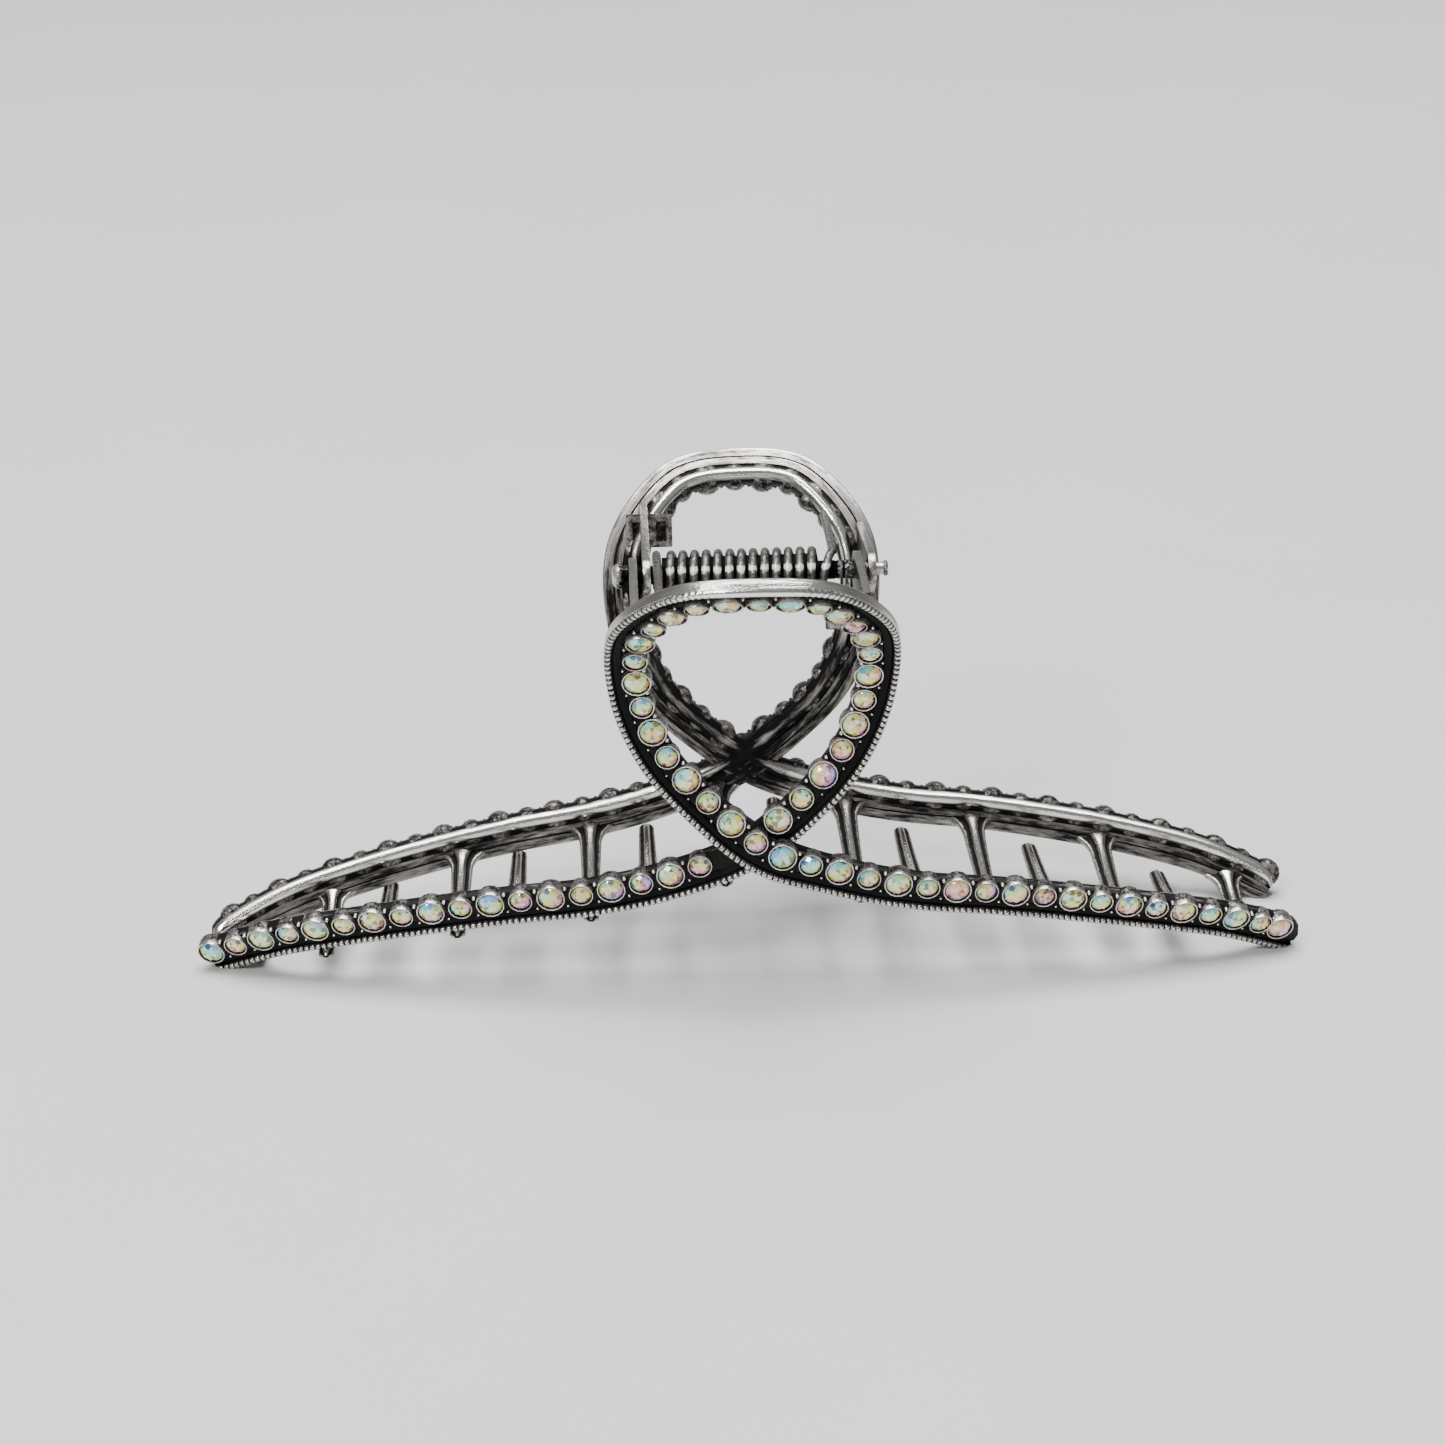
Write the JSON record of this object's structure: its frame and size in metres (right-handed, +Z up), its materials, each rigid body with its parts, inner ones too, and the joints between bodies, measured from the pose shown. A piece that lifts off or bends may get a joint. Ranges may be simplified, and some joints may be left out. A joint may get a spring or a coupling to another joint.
{
  "type": "claw hair clip",
  "caption": "Claw hair clip with cast ribbon-loop jaws edged with rhinestones, hinged on a sprung pin, with interleaving teeth.",
  "frame": {"origin": "on the surface that the clip stands on, under the middle of its box", "axes": "+Z up from the arm tips to the grips, +X along the arms, -Y out of the front jaw"},
  "size_m": [0.1116, 0.04, 0.0465],
  "materials": {
    "antique_silver": "cast zinc alloy, antiqued silver plate, bright on the high spots and blackened in the recesses",
    "black_enamel": "glossy black enamel",
    "aurora_crystal": "faceted foil-backed crystal with an iridescent coating",
    "spring_steel": "antiqued silver plated spring wire, blackened between the turns",
    "pin_steel": "antiqued silver plated pin"
  },
  "bodies": {
    "hinge": {"hinge_pin": "pin_steel", "spring_coil": "spring_steel"},
    "front_jaw": {"front_jaw": "antique_silver", "front_enamel_long": "black_enamel", "front_enamel_short": "black_enamel", "front_stone_01": "aurora_crystal", "front_stone_02": "aurora_crystal", "front_stone_03": "aurora_crystal", "front_stone_04": "aurora_crystal", "front_stone_05": "aurora_crystal", "front_stone_06": "aurora_crystal", "front_stone_07": "aurora_crystal", "front_stone_08": "aurora_crystal", "front_stone_09": "aurora_crystal", "front_stone_10": "aurora_crystal", "front_stone_11": "aurora_crystal", "front_stone_12": "aurora_crystal", "front_stone_13": "aurora_crystal", "front_stone_14": "aurora_crystal", "front_stone_15": "aurora_crystal", "front_stone_16": "aurora_crystal", "front_stone_17": "aurora_crystal", "front_stone_18": "aurora_crystal", "front_stone_19": "aurora_crystal", "front_stone_20": "aurora_crystal", "front_stone_21": "aurora_crystal", "front_stone_22": "aurora_crystal", "front_stone_23": "aurora_crystal", "front_stone_row_long": "aurora_crystal", "front_stone_row_short": "aurora_crystal", "spring_front_leg": "spring_steel"},
    "rear_jaw": {"rear_jaw": "antique_silver", "rear_enamel_long": "black_enamel", "rear_enamel_short": "black_enamel", "rear_stone_01": "aurora_crystal", "rear_stone_02": "aurora_crystal", "rear_stone_03": "aurora_crystal", "rear_stone_04": "aurora_crystal", "rear_stone_05": "aurora_crystal", "rear_stone_06": "aurora_crystal", "rear_stone_07": "aurora_crystal", "rear_stone_08": "aurora_crystal", "rear_stone_09": "aurora_crystal", "rear_stone_10": "aurora_crystal", "rear_stone_11": "aurora_crystal", "rear_stone_12": "aurora_crystal", "rear_stone_13": "aurora_crystal", "rear_stone_14": "aurora_crystal", "rear_stone_15": "aurora_crystal", "rear_stone_16": "aurora_crystal", "rear_stone_17": "aurora_crystal", "rear_stone_18": "aurora_crystal", "rear_stone_19": "aurora_crystal", "rear_stone_20": "aurora_crystal", "rear_stone_21": "aurora_crystal", "rear_stone_22": "aurora_crystal", "rear_stone_23": "aurora_crystal", "rear_stone_row_long": "aurora_crystal", "rear_stone_row_short": "aurora_crystal", "spring_rear_leg": "spring_steel"}
  },
  "joints": [
    {"name": "front_jaw_hinge", "type": "hinge", "parent": "hinge", "child": "front_jaw", "pos_m": [0, 0, 0.03995], "axis": [-1, 0, 0], "range_deg": [0, 25], "stiffness_Nm_per_rad": 0.12, "springref_deg": -40.11},
    {"name": "rear_jaw_hinge", "type": "hinge", "parent": "hinge", "child": "rear_jaw", "pos_m": [0, 0, 0.03995], "axis": [1, 0, 0], "range_deg": [0, 25], "stiffness_Nm_per_rad": 0.12, "springref_deg": -40.11}
  ],
  "couplings": [
    {"joint": "rear_jaw_hinge", "follows": "front_jaw_hinge", "ratio": 1}
  ]
}
